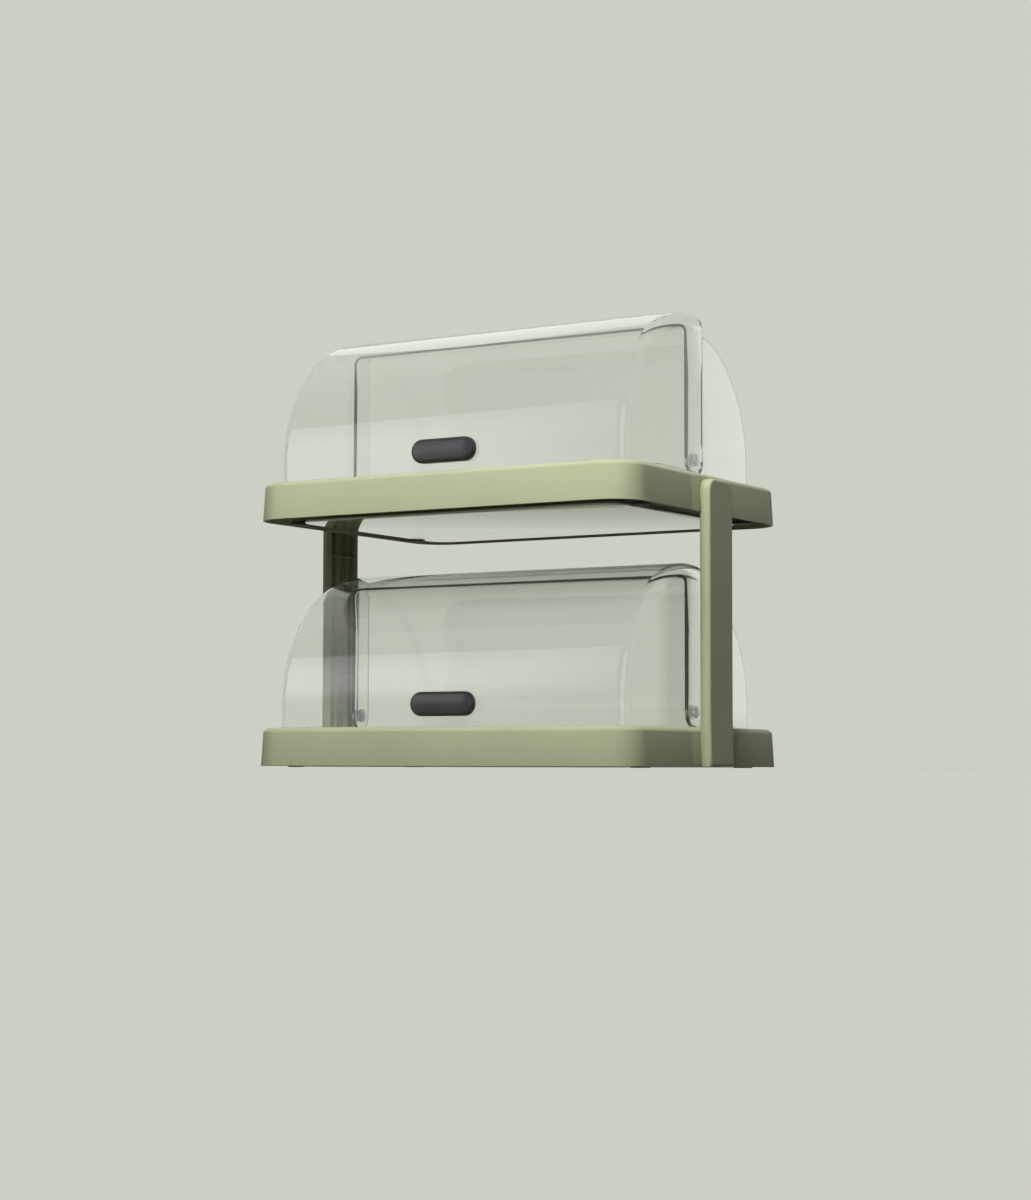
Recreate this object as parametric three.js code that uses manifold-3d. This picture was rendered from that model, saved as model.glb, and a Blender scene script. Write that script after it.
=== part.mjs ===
// A two-tier chilled roll-top food display: two moulded bases with cold packs under a steel tray,
// each under a clear two-part cover whose front half rolls back, held one above the other by two posts.
// Millimetres, +Z up, +X to the right, the front towards -Y. The origin is on the floor, under the middle.

import * as THREE from 'three';
import { mergeVertices } from 'three/addons/utils/BufferGeometryUtils.js';
import Module from 'manifold-3d';

const wasm = await Module();
wasm.setup();

// Overall sizes
const caseWidth = 445;
const caseDepth = 340;
const gapAboveCover = 47.7;
const tierNames = ['lower', 'upper'];

// Clearances
const seatGap = 0.3;
const shaftGap = 0.3;
const runningGap = 1.5;
const cutOverrun = 5;

// Points of a surface nearer to each other than this are one point
const weldDistance = 1e-4;

// Base frame: outer skirt and shoulder
const skirtLift = 1;
const skirtHeight = 33.5;
const skirtDraft = 2;
const caseCornerRadius = 37;
const shoulderRun = 9;
const shoulderRise = 5.5;
const mouldedWall = 2.5;
// Inward and upward shares of the shoulder, from the top of the wall to the flat rim
const shoulderShares = [[0, 0], [0.08, 0.3], [0.2, 0.5], [1, 1]];

// Base frame: ledge for the covers, step for the tray, tub for the packs
const grooveSideGap = 3.5;
const grooveFrontGap = 6.5;
const grooveCornerRadius = 10;
const ledgeDrop = 4;
const ledgeMargin = 2;
const trayStepDrop = 3;
const trayStepWidth = 6;
const ledgeCornerRadius = 16;
const tubEndTaper = 9;
const tubSideTaper = 2;
const frameRibThickness = 2;
const frameRibLift = 9;
const frameRibSpacing = 86;
const frameRibsPerSide = 4;
const postRibSpacing = 37;

// Base frame: side pads behind the posts
const padProud = 1.7;
const padFlatHalf = 26.5;
const padBlend = 17;
const padPocketDepth = 1.8;

// Bottom panel and feet
const panelLift = 0.3;
const panelThickness = 3;
const panelEndOverhang = 5.7;
const panelSideOverhang = 13.4;
const panelCornerRadius = 24.7;
const footRadius = 10;
const footThickness = 3;
const footStemRadius = 2.5;
const footStemLength = 9;
const footBossRadius = 7;
const footInsetY = 60;

// Cold packs
const packGap = 3;
const packThickness = 15.4;
const packCornerRadius = 16;
const packSideGap = 3;
const packEdgeRound = 3;
const packPlugRadius = 11;
const packPlugHeight = 0.5;
const packPlugInset = 26;

// Serving tray
const trayMetal = 1;
const trayFlangeGap = 0.6;
const trayFlangeWidth = 7.4;
const trayDepth = 13;
const trayTaper = 4;
const trayCornerRadius = 15;

// Clear covers
const shellWall = 2.5;
const shellCentreHeight = 61;
const pinHeight = 55;
const coverFrontInset = 27.5;
const coverSideInset = 18;
const frontShellEdgeRound = 12;
const backShellEdgeRound = 6;
const radialStep = 11.5;
const rearEdge = 17;
const rearEdgeRound = 8;
const lipDepth = 9.5;
const backRim = 14;
const backRimRound = 1;
const tabWidth = 30;
const tabDrop = 5;
const tabOffset = 90;

// Pivot pins
const pinRadius = 3;
const pinInnerHeadRadius = 7;
const pinOuterHeadRadius = 6;
const pinHeadThickness = 1.8;

// Handle
const handleLength = 73.5;
const handleHeight = 24.2;
const handleThickness = 10;
const handleLift = 1.4;
const handleEdgeRound = 6;
const handleScrewSpacing = 44;
const handleScrewRadius = 1.8;
const handleScrewDepth = 6;
const screwHeadRadius = 3.8;
const screwHeadThickness = 2;

// Posts
const postThickness = 10.8;
const postFlare = 1.2;
const postFlareHeight = 50;
const postWidth = 51;
const postTopAboveTier = 33.8;
const postTopRound = 13;
const postEdgeRound = 2.5;
const postWall = 2.5;
const postRibThickness = 1.6;
const postRibSetback = 2;
const postRibPitch = 42.2;
const postFirstRib = 59.3;
const postRibOffset = 9.7;
const postBossRadius = 5;
const postScrewRadius = 2;
const postScrewHeight = 18;
const postScrewSpacing = 28;
const postScrewGrip = 6.5;

// Numbers of facets
const cornerFacets = 4;
const coverFacets = 32;
const coverEdgeFacets = 3;
const handleEdgeFacets = 4;
const edgeRoundFacets = 2;
const endRoundFacets = 6;
const roundFacets = 16;
const smallRoundFacets = 10;
const padBlendSteps = 4;

// Worked out from the sizes above
const halfWidth = caseWidth / 2;
const halfDepth = caseDepth / 2;
const handleCentreHeight = shellCentreHeight + handleLift;
const frontShellRadius = halfDepth - coverFrontInset;
const frontShellHalfLength = halfWidth - coverSideInset;
const tierPitch = shellCentreHeight + frontShellRadius + gapAboveCover;
const skirtTop = skirtLift + skirtHeight;
const rimHeight = skirtTop + shoulderRise;
const ledgeHeight = rimHeight - ledgeDrop;
const trayStepHeight = ledgeHeight - trayStepDrop;
const backShellRadius = frontShellRadius - radialStep;
const backShellHalfLength = frontShellHalfLength - shellWall - runningGap;
const grooveHalfX = frontShellHalfLength + grooveSideGap;
const grooveHalfY = frontShellRadius + grooveFrontGap;
const ledgeHalfX = backShellHalfLength - shellWall - ledgeMargin;
const ledgeHalfY = backShellRadius - shellWall - ledgeMargin;
const tubMouthX = ledgeHalfX - trayStepWidth;
const tubMouthY = ledgeHalfY - trayStepWidth;
const tubCornerRadius = ledgeCornerRadius - trayStepWidth;
const tubFootX = tubMouthX - tubEndTaper;
const tubFootY = tubMouthY - tubSideTaper;
const panelTop = panelLift + panelThickness;
const tubBottom = panelTop + seatGap;
const footX = (tubFootX + halfWidth) / 2;
const footY = halfDepth - footInsetY;
const shellBottom = ledgeHeight + seatGap;
const pocketX = halfWidth + padProud - padPocketDepth;
const postInnerHalfSpan = pocketX + seatGap;
const postOuterHalfSpan = postInnerHalfSpan + postThickness;
const postTop = tierPitch * (tierNames.length - 1) + postTopAboveTier;
const draftAtScrew = skirtDraft * (postScrewHeight - skirtLift) / skirtHeight;
const screwSeatX = halfWidth - draftAtScrew - mouldedWall + seatGap;

// Materials
const makeMaterial = (color, roughness, metalness, more = {}) => (
  new THREE.MeshStandardMaterial({ color, roughness, metalness, ...more }));
const sagePlastic = () => makeMaterial(0xb4b998, 0.5, 0);
const smoothSagePlastic = () => makeMaterial(0x9fa77f, 0.25, 0);
const clearPlastic = () => makeMaterial(0xe8efe4, 0.08, 0, { transparent: true, opacity: 0.3 });
const pinPlastic = () => makeMaterial(0xdfe6e4, 0.15, 0, { transparent: true, opacity: 0.6 });
const gripPlastic = () => makeMaterial(0x2f3034, 0.45, 0);
const packPlastic = () => makeMaterial(0x3c7fb5, 0.4, 0);
const trayMetalFinish = () => makeMaterial(0xc8cacb, 0.3, 1);
const screwMetal = () => makeMaterial(0xb9bbbd, 0.35, 1);
const footRubber = () => makeMaterial(0x2a2b2a, 0.8, 0);

// Closed geometry to solid, and solid back to geometry
function solidOf(geometry) {
  const bare = geometry.index ? geometry.clone() : geometry;
  bare.deleteAttribute('normal');
  bare.deleteAttribute('uv');
  const merged = mergeVertices(bare, weldDistance);
  return new wasm.Manifold(new wasm.Mesh({
    numProp: 3,
    vertProperties: Float32Array.from(merged.attributes.position.array),
    triVerts: Uint32Array.from(merged.index.array),
  }));
}

function geometryOf(solid) {
  const mesh = solid.getMesh();
  const geometry = new THREE.BufferGeometry();
  geometry.setAttribute('position', new THREE.BufferAttribute(mesh.vertProperties, 3));
  geometry.setIndex(new THREE.BufferAttribute(mesh.triVerts, 1));
  geometry.computeVertexNormals();
  return geometry;
}

const joined = (solids) => solids.reduce((sum, solid) => sum.add(solid));

// Outline of a rectangle with round corners, as points that run anticlockwise
function roundedRectangle(halfX, halfY, radius, facets = cornerFacets) {
  const points = [];
  const corners = [[1, 1], [-1, 1], [-1, -1], [1, -1]];
  corners.forEach(([sideX, sideY], corner) => {
    for (let step = 0; step <= facets; step += 1) {
      const angle = (corner + step / facets) * Math.PI / 2;
      points.push(new THREE.Vector2(
        sideX * (halfX - radius) + radius * Math.cos(angle),
        sideY * (halfY - radius) + radius * Math.sin(angle),
      ));
    }
  });
  return points;
}

// A closed body through flat outlines with equally many points, stacked upwards
function loft(sections) {
  const count = sections[0].points.length;
  const positions = sections.flatMap(({ points, z }) => points.flatMap((point) => [point.x, point.y, z]));
  const index = [];
  for (let level = 0; level + 1 < sections.length; level += 1) {
    for (let here = 0; here < count; here += 1) {
      const next = (here + 1) % count;
      const [a, b] = [level * count + here, level * count + next];
      index.push(a, b, b + count, a, b + count, a + count);
    }
  }
  const top = (sections.length - 1) * count;
  const flat = (points) => THREE.ShapeUtils.triangulateShape(points, []);
  flat(sections[0].points).forEach(([a, b, c]) => index.push(a, c, b));
  flat(sections.at(-1).points).forEach(([a, b, c]) => index.push(top + a, top + b, top + c));
  const geometry = new THREE.BufferGeometry();
  geometry.setAttribute('position', new THREE.Float32BufferAttribute(positions, 3));
  geometry.setIndex(index);
  return solidOf(geometry);
}

const upright = (points, bottom, top) => loft([{ points, z: bottom }, { points, z: top }]);

// An outline given in (Y, Z), run along X between two ends, with its long edges rounded if asked
function runAlongX(shape, from, to, round, facets, roundingFacets = edgeRoundFacets) {
  const geometry = new THREE.ExtrudeGeometry(shape, {
    depth: to - from - 2 * round,
    curveSegments: facets,
    bevelEnabled: round > 0,
    bevelThickness: round,
    bevelSize: round,
    bevelOffset: -round,
    bevelSegments: roundingFacets,
  });
  geometry.translate(0, 0, from + round);
  geometry.applyMatrix4(new THREE.Matrix4().makeBasis(
    new THREE.Vector3(0, 1, 0),
    new THREE.Vector3(0, 0, 1),
    new THREE.Vector3(1, 0, 0),
  ));
  return solidOf(geometry);
}

// An outline given in (X, Z), run along Y between two ends, with its long edges rounded if asked
function runAlongY(shape, from, to, round, facets, roundingFacets) {
  const geometry = new THREE.ExtrudeGeometry(shape, {
    depth: to - from - 2 * round,
    curveSegments: facets,
    bevelEnabled: round > 0,
    bevelThickness: round,
    bevelSize: round,
    bevelOffset: -round,
    bevelSegments: roundingFacets,
  });
  geometry.translate(0, 0, -to + round);
  geometry.applyMatrix4(new THREE.Matrix4().makeBasis(
    new THREE.Vector3(1, 0, 0),
    new THREE.Vector3(0, 0, 1),
    new THREE.Vector3(0, -1, 0),
  ));
  return solidOf(geometry);
}

function block(fromX, toX, fromY, toY, fromZ, toZ) {
  const geometry = new THREE.BoxGeometry(toX - fromX, toY - fromY, toZ - fromZ);
  geometry.translate((fromX + toX) / 2, (fromY + toY) / 2, (fromZ + toZ) / 2);
  return solidOf(geometry);
}

function rodAlongX(radius, from, to, y, z, facets = smallRoundFacets) {
  const geometry = new THREE.CylinderGeometry(radius, radius, to - from, facets);
  geometry.rotateZ(-Math.PI / 2);
  geometry.translate((from + to) / 2, y, z);
  return solidOf(geometry);
}

function rodAlongY(radius, from, to, x, z, facets = smallRoundFacets) {
  const geometry = new THREE.CylinderGeometry(radius, radius, to - from, facets);
  geometry.translate(x, (from + to) / 2, z);
  return solidOf(geometry);
}

function rodAlongZ(radius, from, to, x, y, facets = smallRoundFacets) {
  const geometry = new THREE.CylinderGeometry(radius, radius, to - from, facets);
  geometry.rotateX(Math.PI / 2);
  geometry.translate(x, y, (from + to) / 2);
  return solidOf(geometry);
}

const mirroredX = (solid) => solid.mirror([1, 0, 0]);

// How far in from the skirt's foot the outside of the case is, at each of its levels
function caseLevels() {
  const shoulder = shoulderShares.map(([inward, upward]) => ({
    inset: skirtDraft + inward * shoulderRun,
    z: skirtTop + upward * shoulderRise,
  }));
  return [{ inset: 0, z: skirtLift }, ...shoulder];
}

const caseOutline = (inset) => roundedRectangle(
  halfWidth - inset,
  halfDepth - inset,
  caseCornerRadius - inset,
);

const caseBody = () => loft(caseLevels().map(({ inset, z }) => ({ z, points: caseOutline(inset) })));

// The hollow under the case, one wall in from its outside
const caseHollow = () => loft([
  { z: -cutOverrun, points: caseOutline(mouldedWall) },
  { z: skirtLift, points: caseOutline(mouldedWall) },
  { z: skirtTop, points: caseOutline(skirtDraft + mouldedWall) },
  { z: rimHeight - mouldedWall, points: caseOutline(skirtDraft + shoulderRun) },
]);

// The pad that swells out of the right side: its plan is flat in the middle and eases into the wall
function sidePad() {
  const root = halfWidth - padBlend;
  const levels = caseLevels().map(({ inset, z }) => {
    const points = [new THREE.Vector2(root - padBlend, -padFlatHalf - padBlend)];
    for (let step = 0; step <= padBlendSteps; step += 1) {
      const along = step / padBlendSteps;
      const rise = (1 - Math.cos(Math.PI * along)) / 2;
      points.push(new THREE.Vector2(
        halfWidth - inset - skirtDraft / 2 + (padProud + skirtDraft / 2) * rise,
        -padFlatHalf - padBlend * (1 - along),
      ));
    }
    const far = points.slice().reverse().map((point) => new THREE.Vector2(point.x, -point.y));
    return { z, points: [...points, ...far] };
  });
  return loft(levels);
}

// The tub's outlines, at its foot and at the tray's step above, grown by a wall where asked
const tubFoot = (grow) => roundedRectangle(tubFootX + grow, tubFootY + grow, tubCornerRadius + grow);
const tubMouth = (grow) => roundedRectangle(tubMouthX + grow, tubMouthY + grow, tubCornerRadius + grow);

const tubLevels = (grow, top) => [
  { z: tubBottom, points: tubFoot(grow) },
  { z: trayStepHeight, points: tubMouth(grow) },
  { z: top, points: tubMouth(grow) },
];

// Ribs that tie the tub to the skirt, seen only from below
function frameRibs(outside) {
  const ribs = [];
  const bottom = skirtLift + frameRibLift;
  for (let count = 0; count < frameRibsPerSide; count += 1) {
    const x = (count - (frameRibsPerSide - 1) / 2) * frameRibSpacing;
    [-1, 1].forEach((side) => {
      const near = side * tubFootY;
      const far = side * halfDepth;
      ribs.push(block(
        x - frameRibThickness / 2,
        x + frameRibThickness / 2,
        Math.min(near, far),
        Math.max(near, far),
        bottom,
        rimHeight,
      ));
    });
  }
  [-1, 1].forEach((end) => {
    const y = end * postRibSpacing;
    const rib = block(
      tubFootX,
      halfWidth,
      y - frameRibThickness / 2,
      y + frameRibThickness / 2,
      bottom,
      rimHeight,
    );
    ribs.push(rib, mirroredX(rib));
  });
  return joined(ribs).intersect(outside);
}

function baseFrame() {
  const outside = caseBody();
  const grooveOutline = (grow) => roundedRectangle(
    grooveHalfX + grow,
    grooveHalfY + grow,
    grooveCornerRadius + grow,
  );
  const ledgeOutline = (grow) => roundedRectangle(
    ledgeHalfX + grow,
    ledgeHalfY + grow,
    ledgeCornerRadius + grow,
  );
  const above = rimHeight + cutOverrun;
  const tubBlock = joined([
    upright(grooveOutline(mouldedWall), ledgeHeight - mouldedWall, above),
    upright(ledgeOutline(mouldedWall), trayStepHeight - mouldedWall, above),
    loft(tubLevels(mouldedWall, above)),
  ]);
  const bosses = footPlaces().map(({ x, y }) => rodAlongZ(
    footBossRadius,
    footThickness + seatGap,
    ledgeHeight - mouldedWall / 2,
    x,
    y,
    roundFacets,
  ));
  const pads = [sidePad(), mirroredX(sidePad())];
  const inside = caseHollow().subtract(tubBlock).subtract(frameRibs(outside)).subtract(joined(bosses));
  const hollow = joined([
    upright(grooveOutline(0), ledgeHeight, above),
    upright(ledgeOutline(0), trayStepHeight, above),
    loft([{ z: -cutOverrun, points: tubFoot(0) }, ...tubLevels(0, above)]),
  ]);
  const pocket = block(
    pocketX,
    postOuterHalfSpan,
    -postWidth / 2 - seatGap,
    postWidth / 2 + seatGap,
    -cutOverrun,
    above,
  );
  const sideCuts = [pocket];
  [-1, 1].forEach((side) => {
    const y = side * postScrewSpacing / 2;
    const start = screwSeatX - screwHeadThickness - cutOverrun;
    sideCuts.push(rodAlongX(postScrewRadius + shaftGap, start, postOuterHalfSpan, y, postScrewHeight));
    sideCuts.push(rodAlongX(screwHeadRadius + shaftGap, start, screwSeatX, y, postScrewHeight));
  });
  const cuts = joined(sideCuts);
  const stemHoles = footPlaces().map(({ x, y }) => (
    rodAlongZ(footStemRadius + shaftGap, 0, footStemTop() + seatGap, x, y)));
  const tabSlots = [-1, 1].map((side) => block(
    side * tabOffset - tabWidth / 2 - seatGap,
    side * tabOffset + tabWidth / 2 + seatGap,
    backShellRadius - shellWall - seatGap,
    backShellRadius + seatGap,
    ledgeHeight - mouldedWall - cutOverrun,
    above,
  ));
  return joined([outside, ...pads])
    .subtract(inside)
    .subtract(hollow)
    .subtract(cuts)
    .subtract(mirroredX(cuts))
    .subtract(joined(stemHoles))
    .subtract(joined(tabSlots));
}

function footPlaces() {
  return [
    { name: 'front_left', x: -footX, y: -footY },
    { name: 'front_right', x: footX, y: -footY },
    { name: 'back_left', x: -footX, y: footY },
    { name: 'back_right', x: footX, y: footY },
  ];
}

const footStemTop = () => footThickness + footStemLength;

// The smooth floor under the tub, which it overhangs all round
const bottomPanel = () => upright(
  roundedRectangle(
    tubFootX + mouldedWall + panelEndOverhang,
    tubFootY + mouldedWall + panelSideOverhang,
    panelCornerRadius,
  ),
  panelLift,
  panelTop,
);

const foot = ({ x, y }) => joined([
  rodAlongZ(footRadius, 0, footThickness, x, y, roundFacets),
  rodAlongZ(footStemRadius, 0, footStemTop(), x, y),
]);

// A flat freezer pack with a low filling plug on its top, on the right-hand side
function coldPack() {
  const halfX = (tubFootX - packSideGap - packGap / 2) / 2;
  const halfY = tubFootY - packSideGap;
  const centre = packGap / 2 + halfX;
  const bottom = panelTop + seatGap;
  const place = (inset, z) => ({
    z,
    points: roundedRectangle(halfX - inset, halfY - inset, packCornerRadius - inset)
      .map((point) => new THREE.Vector2(point.x + centre, point.y)),
  });
  const body = loft([
    place(packEdgeRound, bottom),
    place(0, bottom + packEdgeRound),
    place(0, bottom + packThickness - packEdgeRound),
    place(packEdgeRound, bottom + packThickness),
  ]);
  const plug = rodAlongZ(
    packPlugRadius,
    bottom + packThickness / 2,
    bottom + packThickness + packPlugHeight,
    centre,
    packPlugInset - halfY,
    roundFacets,
  );
  return body.add(plug);
}

function servingTray() {
  const flangeX = ledgeHalfX - trayFlangeGap;
  const flangeY = ledgeHalfY - trayFlangeGap;
  const bottom = trayStepHeight + seatGap;
  const floor = bottom - trayDepth;
  const bowl = (grow, z, taper) => ({
    z,
    points: roundedRectangle(
      flangeX - trayFlangeWidth + grow - taper,
      flangeY - trayFlangeWidth + grow - taper,
      trayCornerRadius + grow - taper,
    ),
  });
  const flange = upright(
    roundedRectangle(flangeX, flangeY, trayCornerRadius),
    bottom,
    bottom + trayMetal,
  );
  const outside = loft([bowl(0, floor, trayTaper), bowl(0, bottom + trayMetal, 0)]);
  const inside = loft([
    bowl(-trayMetal, floor + trayMetal, trayTaper),
    bowl(-trayMetal, bottom + trayMetal, 0),
    bowl(-trayMetal, bottom + trayMetal + cutOverrun, 0),
  ]);
  return flange.add(outside).subtract(inside);
}

// Outline of a cover: upright sides up to the centre height, then half a circle
function coverOutline(radius) {
  const outline = new THREE.Shape();
  outline.moveTo(radius, 0);
  outline.lineTo(radius, shellCentreHeight);
  outline.absarc(0, shellCentreHeight, radius, 0, Math.PI, false);
  outline.lineTo(-radius, 0);
  return outline;
}

// Where a cover keeps its material, for a cover towards +Y: a straight edge, rounded at the top where
// asked, a round hub about the pin, and a level foot behind the hub
function keptOutline(radius, edge, edgeRound) {
  const outline = new THREE.Shape();
  const roundX = edgeRound - edge;
  const roundZ = shellCentreHeight + Math.sqrt((radius - edgeRound) ** 2 - roundX ** 2);
  const slant = Math.atan2(-roundX, roundZ - shellCentreHeight);
  const far = radius + cutOverrun;
  const tipX = -radius * Math.sin(slant);
  const tipZ = shellCentreHeight + radius * Math.cos(slant);
  outline.moveTo(edge, shellBottom);
  outline.lineTo(far, shellBottom);
  outline.lineTo(far, shellCentreHeight + far);
  outline.lineTo(tipX, shellCentreHeight + far);
  outline.lineTo(tipX, tipZ);
  outline.absarc(roundX, roundZ, edgeRound, Math.PI / 2 + slant, Math.PI, false);
  outline.lineTo(-edge, pinHeight);
  outline.absarc(0, pinHeight, edge, Math.PI, Math.PI * 3 / 2, false);
  return outline;
}

function pinHoles(halfLength) {
  return rodAlongX(pinRadius + shaftGap, -halfLength - cutOverrun, halfLength + cutOverrun, 0, pinHeight);
}

// The room that a cover's outside takes up, or its inside where it is drawn one wall smaller
const coverSpace = (radius, halfLength, edgeRound, inset) => runAlongX(
  coverOutline(radius - inset),
  inset - halfLength,
  halfLength - inset,
  edgeRound - inset,
  coverFacets,
  coverEdgeFacets,
);

function backShell() {
  const space = (inset) => coverSpace(backShellRadius, backShellHalfLength, backShellEdgeRound, inset);
  const outside = space(0);
  const inside = space(shellWall);
  const reach = backShellHalfLength + cutOverrun;
  const kept = runAlongX(
    keptOutline(backShellRadius, backRim, backRimRound),
    -reach,
    reach,
    0,
    endRoundFacets,
  );
  const tabs = [-1, 1].map((side) => block(
    side * tabOffset - tabWidth / 2,
    side * tabOffset + tabWidth / 2,
    backShellRadius - shellWall,
    backShellRadius,
    shellBottom - tabDrop,
    shellBottom + tabDrop,
  ));
  return outside.intersect(kept).subtract(inside).add(joined(tabs)).subtract(pinHoles(backShellHalfLength));
}

// The front cover is drawn towards +Y like the back one, and then turned round to face the front
function frontShell() {
  const space = (inset) => coverSpace(frontShellRadius, frontShellHalfLength, frontShellEdgeRound, inset);
  const outside = space(0);
  const reach = frontShellHalfLength + cutOverrun;
  const kept = runAlongX(
    keptOutline(frontShellRadius, rearEdge, rearEdgeRound),
    -reach,
    reach,
    0,
    endRoundFacets,
  );
  const lipBottom = shellCentreHeight + frontShellRadius - lipDepth;
  const lip = block(
    -reach,
    reach,
    -rearEdge - cutOverrun,
    -rearEdge + shellWall,
    lipBottom,
    shellCentreHeight + frontShellRadius,
  );
  const inside = space(shellWall).subtract(lip);
  const screwHoles = handleScrewPlaces().map((x) => rodAlongY(
    handleScrewRadius + shaftGap,
    -frontShellRadius - cutOverrun,
    -frontShellRadius + shellWall * 2,
    x,
    handleCentreHeight,
  ));
  return outside
    .intersect(kept)
    .subtract(inside)
    .mirror([0, 1, 0])
    .subtract(pinHoles(frontShellHalfLength))
    .subtract(joined(screwHoles));
}

// A rivet-like pin with a wide head inside and a smaller one outside, for the right-hand end
function pivotPin() {
  const innerFace = backShellHalfLength - shellWall - seatGap;
  const outerFace = frontShellHalfLength + seatGap;
  return joined([
    rodAlongX(pinRadius, innerFace - pinHeadThickness / 2, outerFace + pinHeadThickness / 2, 0, pinHeight),
    rodAlongX(pinInnerHeadRadius, innerFace - pinHeadThickness, innerFace, 0, pinHeight, roundFacets),
    rodAlongX(pinOuterHeadRadius, outerFace, outerFace + pinHeadThickness, 0, pinHeight, roundFacets),
  ]);
}

const handleScrewPlaces = () => [-handleScrewSpacing / 2, handleScrewSpacing / 2];

function handle() {
  const radius = handleHeight / 2;
  const half = handleLength / 2 - radius;
  const outline = new THREE.Shape();
  outline.absarc(half, handleCentreHeight, radius, -Math.PI / 2, Math.PI / 2, false);
  outline.absarc(-half, handleCentreHeight, radius, Math.PI / 2, Math.PI * 3 / 2, false);
  const face = -frontShellRadius - handleThickness;
  const body = runAlongY(
    outline,
    face,
    face + handleThickness * 2,
    handleEdgeRound,
    endRoundFacets,
    handleEdgeFacets,
  );
  const cover = runAlongX(
    coverOutline(frontShellRadius + seatGap),
    -handleLength,
    handleLength,
    0,
    coverFacets,
  );
  const bores = handleScrewPlaces().map((x) => rodAlongY(
    handleScrewRadius + shaftGap,
    -frontShellRadius - handleScrewDepth - seatGap,
    0,
    x,
    handleCentreHeight,
  ));
  return body.subtract(cover).subtract(joined(bores));
}

function handleScrew(x) {
  const innerFace = -frontShellRadius + shellWall + seatGap;
  return joined([
    rodAlongY(
      handleScrewRadius,
      -frontShellRadius - handleScrewDepth,
      innerFace + screwHeadThickness / 2,
      x,
      handleCentreHeight,
    ),
    rodAlongY(screwHeadRadius, innerFace, innerFace + screwHeadThickness, x, handleCentreHeight),
  ]);
}

const postScrewRows = () => [-postScrewSpacing / 2, postScrewSpacing / 2];

function postScrew(y) {
  const seat = screwSeatX - seatGap;
  return joined([
    rodAlongX(
      postScrewRadius,
      seat - screwHeadThickness / 2,
      postInnerHalfSpan + postScrewGrip,
      y,
      postScrewHeight,
    ),
    rodAlongX(screwHeadRadius, seat - screwHeadThickness, seat, y, postScrewHeight),
  ]);
}

// Side view of a post, drawn smaller all round by a wall where asked
function postOutline(inset) {
  const half = postWidth / 2 - inset;
  const radius = postTopRound - inset;
  const top = postTop - inset;
  const outline = new THREE.Shape();
  outline.moveTo(-half, skirtLift + inset);
  outline.lineTo(half, skirtLift + inset);
  outline.lineTo(half, top - radius);
  outline.absarc(half - radius, top - radius, radius, 0, Math.PI / 2, false);
  outline.absarc(radius - half, top - radius, radius, Math.PI / 2, Math.PI, false);
  return outline;
}

// The right-hand post: an open channel towards the bases, with a grid of ribs and screw bosses
function post() {
  const halfPost = postWidth / 2;
  const start = postInnerHalfSpan - postEdgeRound * 2;
  const straight = runAlongX(postOutline(0), start, postOuterHalfSpan, postEdgeRound, endRoundFacets)
    .intersect(block(postInnerHalfSpan, postOuterHalfSpan, -postWidth, postWidth, 0, postTop));
  const lowerPart = block(0, postOuterHalfSpan, -postWidth, postWidth, 0, postFlareHeight);
  const flared = straight.intersect(lowerPart).warp((vertex) => {
    if (vertex[0] > postInnerHalfSpan + seatGap) {
      vertex[0] += postFlare * (postFlareHeight - vertex[2]) / (postFlareHeight - skirtLift);
    }
  });
  const body = straight.subtract(lowerPart).add(flared);
  const channel = runAlongX(
    postOutline(postWall),
    postInnerHalfSpan - cutOverrun,
    postOuterHalfSpan - postWall,
    0,
    endRoundFacets,
  );
  const ribTop = postOuterHalfSpan - postWall / 2;
  const ribFoot = postInnerHalfSpan + postRibSetback;
  const ribs = [];
  [-1, 1].forEach((side) => ribs.push(block(
    ribFoot,
    ribTop,
    side * postRibOffset - postRibThickness / 2,
    side * postRibOffset + postRibThickness / 2,
    skirtLift + postWall / 2,
    postTop - postWall / 2,
  )));
  for (let z = postFirstRib - postRibPitch; z < postTop - postTopRound; z += postRibPitch) {
    ribs.push(block(
      ribFoot,
      ribTop,
      -halfPost + postWall / 2,
      halfPost - postWall / 2,
      z - postRibThickness / 2,
      z + postRibThickness / 2,
    ));
  }
  const levels = tierNames.map((name, tier) => tier * tierPitch + postScrewHeight);
  const bosses = levels.flatMap((z) => postScrewRows().map((y) => (
    rodAlongX(postBossRadius, postInnerHalfSpan, ribTop, y, z, roundFacets))));
  const bores = levels.flatMap((z) => postScrewRows().map((y) => rodAlongX(
    postScrewRadius + shaftGap,
    postInnerHalfSpan - cutOverrun,
    postInnerHalfSpan + postScrewGrip + seatGap,
    y,
    z,
  )));
  return body.subtract(channel).add(joined(ribs)).add(joined(bosses)).subtract(joined(bores));
}

// The scene graph
const display = new THREE.Group();

function addPiece(parent, name, solid, material) {
  const mesh = new THREE.Mesh(geometryOf(solid), material);
  mesh.name = name;
  parent.add(mesh);
}

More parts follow.
